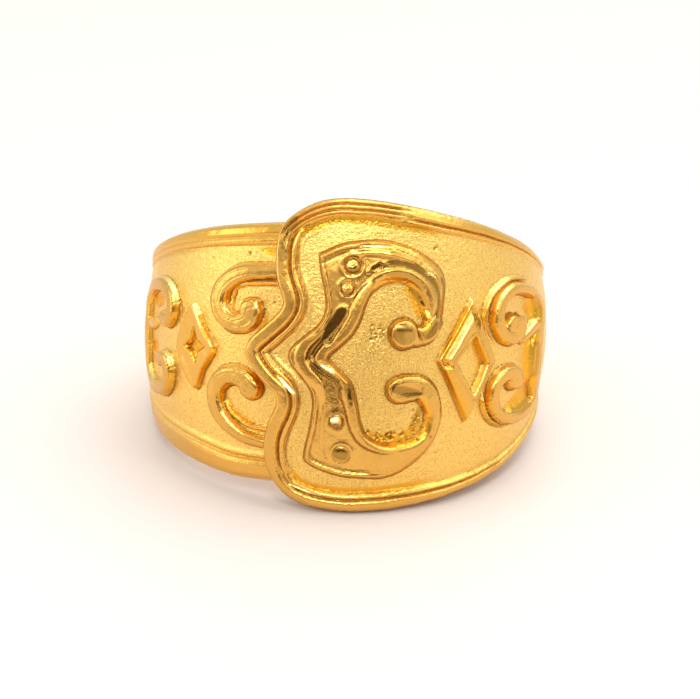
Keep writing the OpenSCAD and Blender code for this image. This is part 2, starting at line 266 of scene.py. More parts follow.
# Facets that mirror the key light, with a painted highlight on them, and facets that mirror the
# dim front, with painted shade on them
# columns: u, s, radius along, radius across, turn in degrees, height
FACETS = [
    (-0.72, -0.34, 0.38, 0.13, -32, 0.34), (-0.36, -2.68, 0.19, 0.14, -10, 0.36),
    (-2.46, -1.2, 0.58, 0.1, -46, 0.14), (-1.74, -6.04, 0.66, 0.07, -17, 0.14),
    (2.36, 1.64, 0.28, 0.03, 0, 0.38), (3.44, 2.1, 0.1, 0.26, 10, 0.28), (0.16, 4.34, 0.11, 0.09, 0, 0.3),
    (-0.1, 3.34, 0.09, 0.07, 0, 0.28), (1.2, 5.08, 0.7, 0.09, -2, 0.24), (-4.04, 2.26, 0.1, 0.22, 8, 0.38),
    (3.56, 3.88, 0.3, 0.05, -38, 0.43),
]
DARK_FACETS = [
    (-0.84, -0.52, 0.76, 0.12, -37, 0.3), (0.26, -1.44, 0.36, 0.08, -80, 0.38),
    (-0.14, -1.4, 0.34, 0.06, -84, 0.28), (1.2, 4.18, 0.28, 0.12, 32, 0.24),
]
# How far such a facet looks above the floor
BRIGHT_LEAN, DARK_LEAN = math.radians(38), math.radians(18)

# Beads in the panel. columns: u, s, radius, height, radius of the dish round it
BEADS = [
    (0.21, 4.22, 0.34, 0.27, 0.5), (0.03, 3.2, 0.29, 0.23, 0.4), (-0.28, -2.76, 0.31, 0.24, 0.4),
    (-0.04, -4.26, 0.41, 0.16, 0.46),
]
DISH_DEPTH, DISH_BRIM = 0.05, 0.03

# Scrolls. columns: u, s, half width, height
LEFT_SCROLLS = curves(
    # Spine, bridge, top and bottom of the far pair
    [(-1250, 210, 36, 26), (-1276, 160, 38, 27), (-1284, 80, 40, 28), (-1284, 0, 40, 28),
     (-1284, -80, 40, 28), (-1276, -160, 38, 27), (-1250, -214, 36, 26)],
    [(-1260, 56, 26, 22), (-1170, 60, 26, 20), (-1110, 90, 16, 6)],
    [(-1250, 210, 34, 26), (-1180, 246, 36, 34), (-1100, 260, 37, 38), (-1030, 254, 37, 40),
     (-972, 224, 38, 42), (-942, 174, 38, 42), (-950, 124, 38, 42), (-986, 96, 36, 40),
     (-1026, 110, 34, 38)],
    [(-1250, -214, 34, 26), (-1180, -240, 36, 34), (-1100, -246, 37, 38), (-1030, -234, 37, 40),
     (-986, -198, 38, 42), (-970, -148, 38, 42), (-984, -102, 38, 42), (-1020, -84, 36, 40),
     (-1054, -106, 34, 38)],
    # The upper and the lower hook beside the bracket edge, each with its inner line
    [(-270, 382, 34, 36), (-385, 376, 36, 38), (-465, 369, 41, 42), (-535, 344, 45, 44),
     (-592, 298, 47, 44), (-614, 236, 47, 44), (-598, 178, 47, 44), (-552, 140, 47, 43),
     (-498, 132, 48, 42), (-452, 152, 50, 42), (-436, 192, 54, 43)],
    [(-552, 266, 7, 3), (-522, 298, 10, 12), (-460, 316, 11, 15), (-390, 322, 11, 15), (-280, 324, 10, 12)],
    [(-300, -420, 24, 36), (-425, -404, 28, 40), (-498, -382, 33, 42), (-562, -342, 38, 44),
     (-610, -288, 42, 44), (-628, -222, 43, 44), (-616, -164, 44, 44), (-574, -120, 46, 44),
     (-516, -106, 48, 43), (-462, -124, 50, 43), (-434, -160, 52, 42)],
    [(-576, -240, 10, 10), (-550, -272, 13, 20), (-506, -306, 13, 22), (-444, -334, 13, 20),
     (-340, -350, 13, 18)],
)
RIGHT_SCROLLS = curves(
    # Spine, top and bottom of the far pair
    [(1110, 220, 40, 32), (1090, 170, 42, 38), (1066, 110, 44, 41), (1050, 40, 46, 42),
     (1050, -40, 46, 42), (1056, -110, 44, 41), (1076, -180, 42, 38), (1100, -240, 38, 32)],
    [(1110, 220, 34, 32), (1040, 266, 32, 38), (950, 298, 30, 42), (860, 308, 30, 44), (786, 292, 32, 45),
     (736, 250, 34, 46), (717, 194, 36, 46), (724, 142, 37, 46), (758, 100, 37, 45), (810, 82, 38, 44),
     (860, 94, 42, 43), (884, 122, 44, 42)],
    [(1100, -240, 34, 32), (1010, -282, 33, 40), (910, -304, 32, 42), (820, -302, 32, 44),
     (752, -274, 33, 45), (713, -226, 34, 46), (705, -172, 35, 46), (723, -124, 36, 46),
     (764, -92, 38, 45), (818, -86, 42, 44), (862, -104, 44, 43), (876, -128, 44, 42)],
    # Their outer lines, and the bridge
    [(1000, 340, 7, 8), (910, 354, 10, 18), (830, 352, 12, 24), (760, 334, 13, 28), (702, 300, 14, 28),
     (664, 258, 13, 28), (646, 208, 12, 26), (646, 160, 10, 20), (658, 116, 9, 12), (684, 84, 6, 4)],
    [(652, -170, 7, 8), (654, -210, 11, 22), (674, -258, 12, 24), (710, -298, 12, 22), (760, -324, 11, 20),
     (830, -342, 7, 8)],
    [(910, 66, 22, 30), (960, 90, 26, 36), (1030, 122, 30, 40)],
)

# Hollows cut between the curls. columns: u, s, half width, depth
LEFT_HOLLOWS = curves(
    [(-1200, 180, 26, 5), (-1140, 174, 36, 10), (-1090, 180, 22, 4)],
    [(-1220, -56, 30, 5), (-1160, -54, 36, 10)],
    [(-544, 206, 8, 3), (-548, 236, 10, 5), (-534, 270, 10, 5)],
    [(-416, 466, 8, 2), (-380, 462, 18, 7), (-330, 460, 20, 8)],
    [(-406, 98, 12, 2), (-380, 126, 14, 3), (-366, 162, 12, 2)],
)
LAP_HOLLOWS = curves(
    [(1030, -150, 20, 4), (970, -184, 34, 10), (910, -214, 32, 10), (860, -236, 16, 3)],
    [(960, 210, 24, 4), (1010, 196, 36, 8), (1040, 180, 24, 4)],
    [(110, -330, 12, 2), (180, -350, 22, 4), (260, -346, 22, 4), (316, -300, 20, 4), (326, -230, 12, 2)],
    [(250, 320, 12, 2), (284, 292, 20, 3), (304, 240, 20, 4), (314, 200, 12, 2)],
)
# Places beside ridges that mirror them, painted with that orange reflection. columns: u, s, half width
LEFT_AMBER = curves(
    [(-580, -220, 10), (-550, -262, 15), (-500, -298, 15), (-430, -328, 12)],
    [(-730, 146, 6), (-696, 96, 10), (-660, 46, 6)],
)
LAP_AMBER = curves(
    [(544, 230, 10), (502, 160, 15), (460, 86, 15), (428, 34, 8)],
)

# Slopes inside the curls, up to their spines. columns: u, s, half width, height
SLOPES = curves(
    [(1014, 16, 66, 36), (1010, -40, 70, 38), (1014, -100, 66, 36)],
    [(1020, 250, 50, 30), (1054, 210, 70, 34), (1050, 166, 60, 34)],
    [(1000, -246, 50, 28), (920, -270, 44, 32), (850, -270, 30, 28)],
)

# Knobs at the ends of curls. columns: u, s, radius along u, radius along s, height
LEFT_KNOBS = [(-4.4, 1.94, 0.58, 0.58, 0.43), (-4.32, -1.6, 0.58, 0.54, 0.45)]
RIGHT_KNOBS = [(8.68, 1.34, 0.54, 0.52, 0.44), (8.2, 1.42, 0.5, 0.5, 0.43), (8.48, -1.26, 0.52, 0.44, 0.44)]
PANEL_KNOBS = [(2.44, 1.24, 0.64, 0.7, 0.42)]

# Lozenges and the hollows in them: corners in turn. columns: u, s
RIGHT_LOZENGE = curve((570, 280), (396, 4), (556, -298), (708, -14))
RIGHT_RECESS = curve((580, 106), (486, -12), (584, -166), (648, -26))
LEFT_LOZENGE = curve(
    (-776, 204), (-840, 110), (-888, 5), (-844, -105), (-756, -206), (-698, -105), (-628, 8), (-702, 102),
)
LEFT_STAR = curve(
    (-756, 88), (-734, 34), (-686, 6), (-730, -20), (-744, -72), (-772, -28), (-816, -4), (-774, 30),
)
# Section of the right lozenge's frame. columns: distance from its outer edge, height
LOZENGE_FRAME = curve(
    (0, 0), (3, 16), (8, 26), (13, 25), (18, 15), (25, 12), (33, 15), (41, 28), (48, 36), (56, 38),
    (95, 35), (160, 34),
)

# Small casting pits. columns: u, s, radius, depth
LAP_PITS = [(3.95, 5.02, 0.1, 0.09), (4.25, -4.3, 0.05, 0.03), (3.72, 2.1, 0.05, 0.02)]
LEFT_PITS = [(-4.76, 4.5, 0.09, 0.09), (-3.32, 2.34, 0.08, 0.06), (-6.9, 4.16, 0.06, 0.03)]
# Patches that the casting left rough. columns: u, s, radius along u, radius along s, pits
ROUGH_PATCHES = [(1.3, 1.25, 0.42, 0.42, 22), (2.1, -3.42, 1.2, 0.2, 46), (3.16, -2.75, 0.2, 0.6, 20)]

# The tent of light. columns: degrees from the middle of the dim patch (falling), colour
TENT = [(85, (0.96, 0.99, 0.97)), (50, (0.90, 0.89, 0.84)), (34, (0.40, 0.31, 0.235)),
        (20, (0.27, 0.19, 0.13)), (10, (0.17, 0.125, 0.085)), (6, (0.11, 0.08, 0.055))]
TENT_STRENGTH = 0.95
# The dim patch's azimuth and elevation, and how many times wider than high it is
DIM_PATCH = (-4.0, 3.0, 2.1)
# columns: name, azimuth, elevation, distance, size, brightness
SOFTBOXES = [
    ("overhead", 140, 68, 0.60, (0.60, 0.50), 2.6),
    ("front_top", -12, 43, 0.40, (0.30, 0.14), 2.75),
    ("key", 0, 54, 0.50, (0.11, 0.09), 16.0),
    ("left_side", -78, 20, 0.40, (0.24, 0.20), 1.75),
    ("right_side", 66, 38, 0.40, (0.22, 0.16), 1.7),
]
FLOOR_COLOUR, FLOOR_ROUGH, FLOOR_HALF = (0.66, 0.59, 0.555, 1), 0.6, 0.6

# The camera stands as the photograph's did: 7.87 degrees above the ring's middle plane and
# 79.8 mm from its centre, with the ring's axis leaning 1.68 degrees to the right in the picture.
VIEW_UP, VIEW_LEAN = math.radians(7.87), math.radians(1.68)
VIEW_DISTANCE = 79.8
VIEW_OFFSET = (0.23, -0.967)
LENS_PX, PICTURE_W, SENSOR_MM = 1560.0, 700.0, 36.0
CLIP_NEAR, CLIP_FAR = 0.002, 5.0

# How the ring's own axes lie in the shared frame
TIP = Matrix.Rotation(SIDE_LEAN, 3, "Y") @ Matrix.Rotation(-LEAN, 3, "X")


def smooth(t):
    """0 up to 0, 1 from 1 on, and an even curve between them."""
    t = np.clip(t, 0.0, 1.0)
    return t * t * (3 - 2 * t)


def rise(x, start, over):
    """From 0 at the start up to 1."""
    return smooth((x - start) / over)


def fall(x, start, over):
    """From 1 at the start down to 0."""
    return 1 - smooth((x - start) / over)


def bell(x, middle, width):
    return np.exp(-((x - middle) / width) ** 2)


def at_least(values, where, amount):
    """Brings the values at some places up to an amount."""
    values[where] = np.maximum(values[where], amount)


def each(action, rows, *settings, **named):
    """The same action for every row or curve of a table."""
    for row in rows:
        action(row, *settings, **named)


def section(rows, x):
    """Height of a section at x, with its corners smoothed."""
    fine = np.linspace(rows[0, 0], rows[-1, 0], SECTION_POINTS)
    y = np.interp(fine, rows[:, 0], rows[:, 1])
    kernel = np.hanning(SECTION_BLUR)
    end = SECTION_BLUR // 2
    padded = np.pad(y, end, mode="edge")
    y[end:-end] = np.convolve(padded, kernel / kernel.sum(), mode="valid")[end:-end]
    return np.interp(x, fine, y)


def through(p, steps=5, closed=False):
    """Points of a smooth curve through rows, with any further columns carried along."""
    n = len(p)
    if closed:
        a, b, c, d = (np.roll(p, k, axis=0) for k in (1, 0, -1, -2))
    else:
        q = np.vstack([2 * p[0] - p[1], p, 2 * p[-1] - p[-2]])
        a, b, c, d = q[:n - 1], q[1:n], q[2:n + 1], q[3:n + 2]
    out = []
    for k in range(steps):
        t = k / steps
        out.append(0.5 * (2 * b + (c - a) * t + (2 * a - 5 * b + 4 * c - d) * t * t
                          + (3 * b - a - 3 * c + d) * t ** 3))
    out = np.stack(out, axis=1).reshape(-1, p.shape[1])
    return out if closed else np.vstack([out, p[-1]])


def mottle(u, s, size, seed, waves=14):
    """Irregularity of a hand-finished casting, about 1 high, with lumps of that size."""
    rng = np.random.default_rng(seed)
    total = np.zeros_like(u)
    for _ in range(waves):
        way = rng.uniform(0, 2 * math.pi)
        k = 2 * math.pi / (size * rng.uniform(0.7, 1.6))
        total += np.sin(k * (u * math.cos(way) + s * math.sin(way)) + rng.uniform(0, 2 * math.pi))
    return total * math.sqrt(2 / waves)


def soften(h, reach):
    """Mean over a small window of the grid."""
    for axis in (0, 1):
        pad = [(reach + 1, reach) if k == axis else (0, 0) for k in (0, 1)]
        total = np.cumsum(np.pad(h, pad, mode="edge"), axis=axis)
        n = total.shape[axis]
        ahead = np.take(total, range(2 * reach + 1, n), axis=axis)
        h = (ahead - np.take(total, range(0, n - 2 * reach - 1), axis=axis)) / (2 * reach + 1)
    return h


class Sheet:
    """Heights of the relief on a grid of places (u, s), with marks of painted light and shade."""

    def __init__(self, u, s):
        self.u, self.s = u, s
        for distance, size, seed_u, seed_s in WANDER:
            self.u = self.u + distance * mottle(u, s, size, seed_u)
            self.s = self.s + distance * mottle(u, s, size, seed_s)
        self.h, self.hollow, self.polish_and_painted_shade, self.bright = (np.zeros_like(u) for _ in range(4))

    def near(self, points, reach):
        """The places in a box round a curve."""
        lo, hi = points[:, :2].min(0) - reach, points[:, :2].max(0) + reach
        return (self.u > lo[0]) & (self.u < hi[0]) & (self.s > lo[1]) & (self.s < hi[1])

    def to_curve(self, points, where, closed=False):
        """Distance from the places to a curve, and the curve's further columns there."""
        u, s = self.u[where], self.s[where]
        best = np.full(u.shape, 1e9)
        extra = np.zeros(u.shape + (points.shape[1] - 2,))
        ends = np.roll(points, -1, axis=0) if closed else points[1:]
        for p, q in zip(points, ends):
            du, ds = q[0] - p[0], q[1] - p[1]
            length2 = du * du + ds * ds + 1e-12
            t = np.clip(((u - p[0]) * du + (s - p[1]) * ds) / length2, 0, 1)
            d = (u - p[0] - t * du) ** 2 + (s - p[1] - t * ds) ** 2
            closer = d < best
            best[closer] = d[closer]
            if extra.shape[-1]:
                extra[closer] = p[2:] + t[closer][:, None] * (q[2:] - p[2:])
        return np.sqrt(best), extra

    def around(self, rows, steps=4, margin=0.05):
        """The places round a curve, their distance from it, and its third and last columns there."""
        points = through(rows, steps)
        where = self.near(points, points[:, 2].max() + margin)
        d, extra = self.to_curve(points, where)
        return where, d, extra[..., 0], extra[..., -1]

    def inside(self, points, where):
        """Distance inwards from a closed outline; it is negative outside."""
        d, _ = self.to_curve(points, where, closed=True)
        u, s = self.u[where], self.s[where]
        odd = np.zeros(u.shape, bool)
        for p, q in zip(points, np.roll(points, -1, axis=0)):
            if p[1] != q[1]:
                crosses = ((p[1] > s) != (q[1] > s)) & (
                    u < (q[0] - p[0]) * (s - p[1]) / (q[1] - p[1]) + p[0])
                odd ^= crosses
        return np.where(odd, d, -d)

    def grain(self, kind):
        return mottle(self.u, self.s, *kind)

    def raise_to(self, where, height, blend=0.03):
        """Union with a form of that height, with a tight fillet."""
        old = self.h[where]
        k = np.clip(0.5 + 0.5 * (height - old) / blend, 0, 1)
        self.h[where] = old * (1 - k) + height * k + blend * k * (1 - k)

    def crest(self, d, half, height):
        """A ridge's section: steep at its foot, rounded on top where narrow, and lined where broad."""
        x = np.clip(d / half, 0, 1)
        power = 0.5 + 0.5 * smooth((0.22 - half) / 0.1)
        lines = 0.032 * bell(x, 0.66, 0.07) + 0.018 * bell(x, 0.3, 0.06)
        return height * (1 - x ** (2.0 + 7.0 * half)) ** power - lines * rise(half, 0.28, 0.05)

    def ridge(self, rows, on=None, steps=5):
        """A ridge along a curve. on is the height that it stands on, where that isn't the ground."""
        where, d, half, height = self.around(rows, steps)
        form = self.crest(d, half, height)
        if on is not None:
            form = form + on[where]
        self.raise_to(where, np.where(d < half, form, -1.0))

    def knob(self, row, on=0.0, power=1.25):
        """A round-topped knob, as flat on top as its power is high. It clears painted reflection and
        highlight beneath it.
        """
        u, s, ru, rs, height = row
        x2 = ((self.u - u) / ru) ** 2 + ((self.s - s) / rs) ** 2
        where = x2 < 1
        self.raise_to(where, on + (height - on) * (1 - x2[where] ** power) ** 0.6)
        for mark in (self.hollow, self.bright):
            mark[where] *= rise(x2[where], 0.8, 0.2)

    def channel(self, rows):
        """A round-bottomed hollow along a curve, painted inside with the gold's orange reflection of
        itself.
        """
        where, d, half, depth = self.around(rows)
        x = np.clip(d / half, 0, 1)
        self.h[where] -= depth * (1 - x ** 4)
        at_least(self.hollow, where, fall(x, 0.7, 0.3))

    def amber(self, rows):
        """A painted orange reflection of the gold in itself along a curve, with no painted highlight there.
        """
        where, d, half, _ = self.around(rows, margin=0)
        mark = fall(d / half, 0.6, 0.4)
        at_least(self.hollow, where, 0.8 * mark)
        self.bright[where] *= 1 - mark

    def engrave(self, points, half, depth):
        """A fine line."""
        where = self.near(points, 3 * half)
        d, _ = self.to_curve(points, where)
        self.h[where] -= depth * bell(d, 0, half)

    def level_and_shade(self, rows, strength, flatten):
        """Along a curve the surface is levelled as far as flatten says, takes a smoother polish, and is
        painted with shade.
        """
        where, d, half, _ = self.around(rows)
        mark = fall(d, half * 0.75, half * 0.25 + 0.03)
        level = (self.h[where] * mark).sum() / mark.sum()
        self.h[where] += flatten * mark * (level - self.h[where])
        at_least(self.polish_and_painted_shade, where, strength * mark)

    def facet(self, row, lean, mark_on):
        """A small plane face that looks that angle above the floor, painted with a highlight or with shade
        as mark_on says.
        """
        u0, s0, along, across, turn, height = row
        a = math.radians(turn)
        du, ds = self.u - u0, self.s - s0
        x = (du * math.cos(a) + ds * math.sin(a)) / along
        y = (ds * math.cos(a) - du * math.sin(a)) / across
        mark = fall((x ** 4 + y ** 4) ** 0.25, 0.8, 0.35)
        plane = height + math.tan(u0 / BAND_R) * du - math.tan(lean - LEAN - 2 * DOME_K * s0) * ds
        self.h += mark * (plane - self.h)
        mark_on[:] = np.maximum(mark_on, mark)

    def slope(self, rows):
        """A hollow slope up to a curve, painted with the gold's orange reflection of itself and with shade
        toward its top.
        """
        where, d, half, height = self.around(rows, margin=0)
        x = np.clip(1 - d / half, 0, 1)
        at_least(self.h, where, height * x ** 1.5)
        face = smooth(x / 0.15) * smooth((1 - x) / 0.1)
        at_least(self.hollow, where, face)
        at_least(self.polish_and_painted_shade, where, face * 0.42 * rise(x, 0.4, 0.3))

    def dent(self, row):
        u, s, ru, rs, skew, depth = row
        ds = self.s - s
        self.h -= depth * np.exp(-((self.u - u + skew * ds) / ru) ** 2 - (ds / rs) ** 2)

    def pit(self, row):
        u, s, r, depth = row
        x2 = ((self.u - u) ** 2 + (self.s - s) ** 2) / (r * r)
        self.h -= depth * np.exp(-x2 * 1.6)
        # Painted shade, with a smoother polish, in and round the pit
        self.polish_and_painted_shade = np.maximum(self.polish_and_painted_shade, 0.8 * np.exp(-x2 * 1.2))

    def steepness(self):
        """How steep the surface is, and how much of that is along s."""
        along = np.gradient(self.h, axis=1) / np.gradient(self.u, axis=1)
        across = np.gradient(self.h, axis=0) / np.gradient(self.s, axis=0)
        return np.hypot(along, across), across

    def darken_walls(self, before, strength):
        """Painted shade on the steep walls of what was added since."""
        wall = (self.h - before > 0.02) * rise(self.steepness()[0], 0.7, 0.8)
        self.polish_and_painted_shade = np.maximum(self.polish_and_painted_shade, strength * wall * (1 - self.hollow))

    def mark_walls(self, before):
        """Paints the walls of what was added since: a highlight where they face up, and else the gold's
        orange reflection of itself.
        """
        added = soften((self.h - before > 0.02).astype(float), 1) > 0
        steep, across = self.steepness()
        wall = added * rise(steep, 0.6, 0.9)
        faces_up = rise(-across / (steep + 1e-6), 0.15, 0.35)
        self.hollow = np.maximum(self.hollow * (1 - wall * faces_up), 0.9 * wall * (1 - faces_up))
        self.bright = np.maximum(self.bright, wall * faces_up)

    def finish(self):
        """Smooths burrs, adds the casting's slight unevenness, and gives the heights and marks."""
        burrs = rise(self.steepness()[0], 1.5, 2)
        self.h += 0.8 * burrs * (soften(self.h, 1) - self.h)
        ground = fall(self.h, 0.05, 0.15)
        self.h += FINISH_H * 0.5 * ground * self.grain(GROUND_GRAIN)
        worked = (1 - ground) * (1 - 0.7 * self.polish_and_painted_shade)
        self.h += FINISH_H * worked * (0.9 * self.grain(CREST_GRAIN) + 0.35 * self.grain(FINE_CREST_GRAIN))
        self.h += HOLLOW_FINISH_H * self.hollow * self.grain(HOLLOW_GRAIN)
        self.h += FINISH_H * self.grain(BROAD_GRAIN)
        # Painted shade in creases, weaker under the painted highlight and the painted reflection
        crease_shade = (soften(self.h, 1) - self.h) * (1 - 0.8 * self.bright) * (1 - 0.5 * self.hollow)
        return {"relief": self.h, "crease_shade": crease_shade, "hollow": self.hollow, "polish_and_painted_shade": self.polish_and_painted_shade,
                "bright": self.bright}


def inset(points, distance):
    """An open curve moved to its right by a distance."""
    along = np.gradient(points, axis=0)
    along /= np.linalg.norm(along, axis=1)[:, None]
    return points + distance * np.stack([along[:, 1], -along[:, 0]], axis=1)


def wrapped(u):
    """The same place, counted from the front by the shorter way round."""
    half_turn = math.pi * BAND_R
    return (u + half_turn) % (2 * half_turn) - half_turn


def half_width_at(c, lap):
    """Half the width of the band where the cosine of the angle from the front is c."""
    front = LAP_FRONT_HALF if lap else UNDER_FRONT_HALF
    taper = LAP_TAPER if lap else UNDER_TAPER
    bow_front = front - SIDE_HALF - taper
    bow_back = BACK_HALF - SIDE_HALF + LAP_TAPER
    return np.where(c > 0, SIDE_HALF + taper * c + bow_front * c * c,
                    SIDE_HALF + LAP_TAPER * c + bow_back * c * c)


def toward_side(u):
    """0 at the front, 1 at the sides and the back."""
    return rise(np.abs(wrapped(u)), SIDE_START, SIDE_FULL - SIDE_START)


def skin(u, s, lap):
    """Radius of the ground."""
    angle = u / BAND_R
    dome = (DOME_K + SIDE_DOME_K * toward_side(u)) * s * s
    if not lap:
        return BAND_R - dome
    step = LAP_STEP * np.cos(angle) + np.sqrt(LAP_R ** 2 - (LAP_STEP * np.sin(angle)) ** 2) - BAND_R
    u0, s0, reach, height = SIDE_SWELL
    swell = height * np.clip(1 - ((u - u0) ** 2 + (s - s0) ** 2) / reach ** 2, 0, 1) ** 0.9
    return BAND_R + np.maximum(step, 0) * fall(u, 10, 5.5) + swell - dome


lap_edge = through(LAP_EDGE, 5)


def bracket_u(s):
    """Place of the bracket edge at a height between the two ends of the seam."""
    order = np.argsort(lap_edge[:, 1])
    return np.interp(s, lap_edge[order, 1], lap_edge[order, 0])


def rim(u, lap):
    """Lower and upper edge of the band at u."""
    trim = np.interp(wrapped(u), *np.transpose(LOWER_TRIM))
    w = half_width_at(np.cos(u / BAND_R), lap)
    if not lap:
        return -w - trim, w
    middle = len(lap_edge) // 2
    top, low = lap_edge[:middle], lap_edge[middle:]
    top = top[top[:, 1] >= SEAM_TOP - 0.6][::-1]
    low = low[low[:, 1] <= SEAM_LOW + 0.6]
    fading = np.exp(-np.abs(u) / 3)
    upper = w + (LAP_EDGE[0][1] - LAP_FRONT_HALF) * fading
    upper = upper + np.interp(u, *np.transpose(UPPER_TRIM))
    lower = -w - trim + (LAP_EDGE[-1][1] + LAP_FRONT_HALF) * fading
    return (np.where(u < 0, np.interp(u, low[:, 0], low[:, 1]), lower),
            np.where(u < 0, np.interp(u, top[:, 0], top[:, 1]), upper))


def lap_moulding(d, s, u):
    """Height of the lapping end's moulding at a distance from its edge."""
    d = d / (1 - 0.4 * rise(u, 1.5, 10))
    top, low = rise(s, 4.9, 1.2), rise(-s, 4.6, 1.4)
    top, low = np.where(u > 1, s > 0, top), np.where(u > 1, s < 0, low)
    right = rise(u, 1.9, 1.4)
    top_section = section(LAP_TOP_MOULDING, d) * (1 - right) + section(LAP_RIGHT_MOULDING, d) * right
    return (top * top_section + low * section(LAP_LOW_MOULDING, d)
            + (1 - top - low) * section(LAP_BRACKET_MOULDING, d))


def flush_at_side(moulding, d, u):
    """At the sides the mouldings lie nearly flush, and behind they fade away."""
    side = toward_side(u)
    low = moulding * (1 - 0.25 * side) - 0.04 * side * smooth((1.1 - d) / 0.3)
    return low * fall(np.abs(wrapped(u)), 13.5, 6)


def panel(sheet):
    """The bracket-shaped panel: a ribbon with a grooved spine, rounded arms, curls and beads."""
    over, under, spine = (through(rows, 4) for rows in (PANEL_OVER, PANEL_UNDER, PANEL_SPINE))
    outer = np.vstack([under, spine[1:], over[1:]])
    base = panel_base(sheet, outer, through(PANEL_INNER, 4))

    far_in, half, height = PANEL_EDGE_RIDGE
    strength = np.ones(len(outer))
    strength[:len(under)] = 0.6 * smooth((3.4 - under[:, 0]) / 1.4)
    strength[-len(over):] = smooth((2.9 - over[:, 0]) / 1.2)
    half_widths = np.full(len(outer), half)
    sheet.ridge(np.column_stack([inset(outer, far_in), half_widths, height * strength + 0.001]),
                on=base, steps=1)
    each(sheet.ridge, PANEL_RIDGES, on=base)
    far_in, half, depth = PANEL_LINE
    for contour in (over, under):
        sheet.engrave(inset(contour, far_in), half, depth)
    each(sheet.ridge, PANEL_CURLS)
    each(sheet.knob, PANEL_KNOBS, power=6)
    each(sheet.dent, PANEL_DENTS)
    beads(sheet)


def panel_base(sheet, outer, inner):
    """The floor of the panel, and its arms, which rise from both contours to a rounded crest."""
    outline = np.vstack([outer, inner])
    where = sheet.near(outline, 0.1)
    u, s = sheet.u[where], sheet.s[where]
    d_in = sheet.inside(outline, where)
    to_outer, _ = sheet.to_curve(outer, where)
    to_inner, _ = sheet.to_curve(inner, where)
    arm = rise(u, 0.7, 1.3)
    inner_slope, outer_slope = np.where(s > 0, 0.9, 0.42), np.where(s > 0, 0.62, 0.5)
    roof = np.minimum(1 - (1 - np.clip(to_inner / inner_slope, 0, 1)) ** 2,
                      1 - (1 - np.clip(to_outer / outer_slope, 0, 1)) ** 2)
    arm_h = np.where(d_in > 0, (0.09 + 0.33 * roof) * smooth(d_in / 0.1 + 0.35), 0)
    base = np.zeros_like(sheet.h)
    base[where] = PANEL_FLOOR * rise(d_in, -0.03, 0.12) * (1 - arm) + arm_h * arm
    sheet.h = np.maximum(sheet.h, base)
    # Painted orange reflection of the gold in itself on the arms' inner slopes
    at_least(sheet.hollow, where, 0.85 * arm * (d_in > 0) * fall(to_inner, 0.2, 0.15))
    return base


def beads(sheet):
    """Beads, each in a dish with a low brim."""
    for u, s, r, height, dish in BEADS:
        d = np.sqrt((sheet.u - u) ** 2 + (sheet.s - s) ** 2)
        sheet.h += DISH_BRIM * bell(d, dish, 0.09) - DISH_DEPTH * smooth((dish - d) / 0.14)
        floor = PANEL_FLOOR - DISH_DEPTH
        sheet.knob((u, s, r, r, floor + height), on=floor)


def wear_and_painted_light(sheet):
    """Levelled places painted with shade, places only painted with shade, and small facets that
    mirror the light or the dim front, with a painted highlight or painted shade on them.
    """
    for places, strength, flatten in WEAR_AND_SHADE:
        each(sheet.level_and_shade, places, strength, flatten)
    each(sheet.facet, DARK_FACETS, DARK_LEAN, sheet.polish_and_painted_shade)
    each(sheet.facet, FACETS, BRIGHT_LEAN, sheet.bright)


def lap_border(sheet, u, s):
    """Mouldings round the lapping end, with painted orange reflection and painted shade in their grooves
    and painted shade on the lower roll.
    """
    border_u = np.arange(0.4, 22.1, 0.4)
    low, high = rim(border_u, True)
    border = np.vstack([
        np.stack([border_u, high], 1)[::-1], lap_edge, np.stack([border_u, low], 1)])
    everywhere = np.ones(u.shape, bool)
    d = sheet.to_curve(border, everywhere)[0].reshape(u.shape)
    sheet.h = flush_at_side(lap_moulding(d, s, u), d, u)
    front = fall(np.abs(u - 0.3), 2.6, 2.0)
    top_band = rise(d, 0.7, 0.06) * fall(d, 1.06, 0.1) * rise(s, 5.2, 0.5)
    low_band = rise(d, 0.86, 0.06) * fall(d, 1.14, 0.08) * rise(-s, 5.0, 0.5)
    sheet.hollow = front * np.maximum(top_band, low_band)
    low_roll = fall(d, 0.5, 0.1) * rise(-s, 2.6, 0.6) * rise(-u, 1.2, 0.6)
    sheet.polish_and_painted_shade = front * (0.36 * top_band + 0.12 * low_band) + 0.14 * low_roll


def right_lozenge(sheet):
    """The tall lozenge: a frame, grooved at its upper left and plain elsewhere, round a recess."""
    where = sheet.near(RIGHT_LOZENGE, 0.1)
    u, s = sheet.u[where], sheet.s[where]
    d_in, recess = (sheet.inside(outline, where) for outline in (RIGHT_LOZENGE, RIGHT_RECESS))
    frame_h = section(LOZENGE_FRAME, np.clip(d_in, 0, LOZENGE_FRAME[-1][0]))
    plain_side = smooth((-0.1 - s) / 0.3) + rise(u, 5.7, 0.3)
    frame_h = np.maximum(frame_h, np.minimum(plain_side, 1) * 0.36 * smooth(d_in / 0.14))
    frame_h -= 0.035 * bell(recess, -0.2, 0.04)
    frame_h = frame_h * fall(recess, -0.06, 0.14) + 0.02 * smooth(recess / 0.2)
    sheet.raise_to(where, np.where(d_in > 0, frame_h, -1.0), 0.02)
    upper_right = rise(u, 5.5, 0.3) * rise(s, -0.7, 0.4)
    wall = rise(recess, -0.1, 0.06) * fall(recess, 0.12, 0.2) * upper_right
    groove = bell(d_in, 0.25, 0.08) * smooth((5.75 - u) / 0.2)
    # Painted orange reflection on the recess wall at the upper right and in the groove
    sheet.hollow[where] = np.maximum(wall, groove)


def rough_patches(sheet):
    """Random pits, close together."""
    rng = np.random.default_rng(5)
    for u0, s0, ru, rs, count in ROUGH_PATCHES:
        for _ in range(count):
            place = rng.normal(0, 0.5, 2)
            u, s = u0 + ru * place[0], s0 + rs * place[1]
            sheet.pit((u, s, rng.uniform(0.04, 0.08), rng.uniform(0.03, 0.10)))


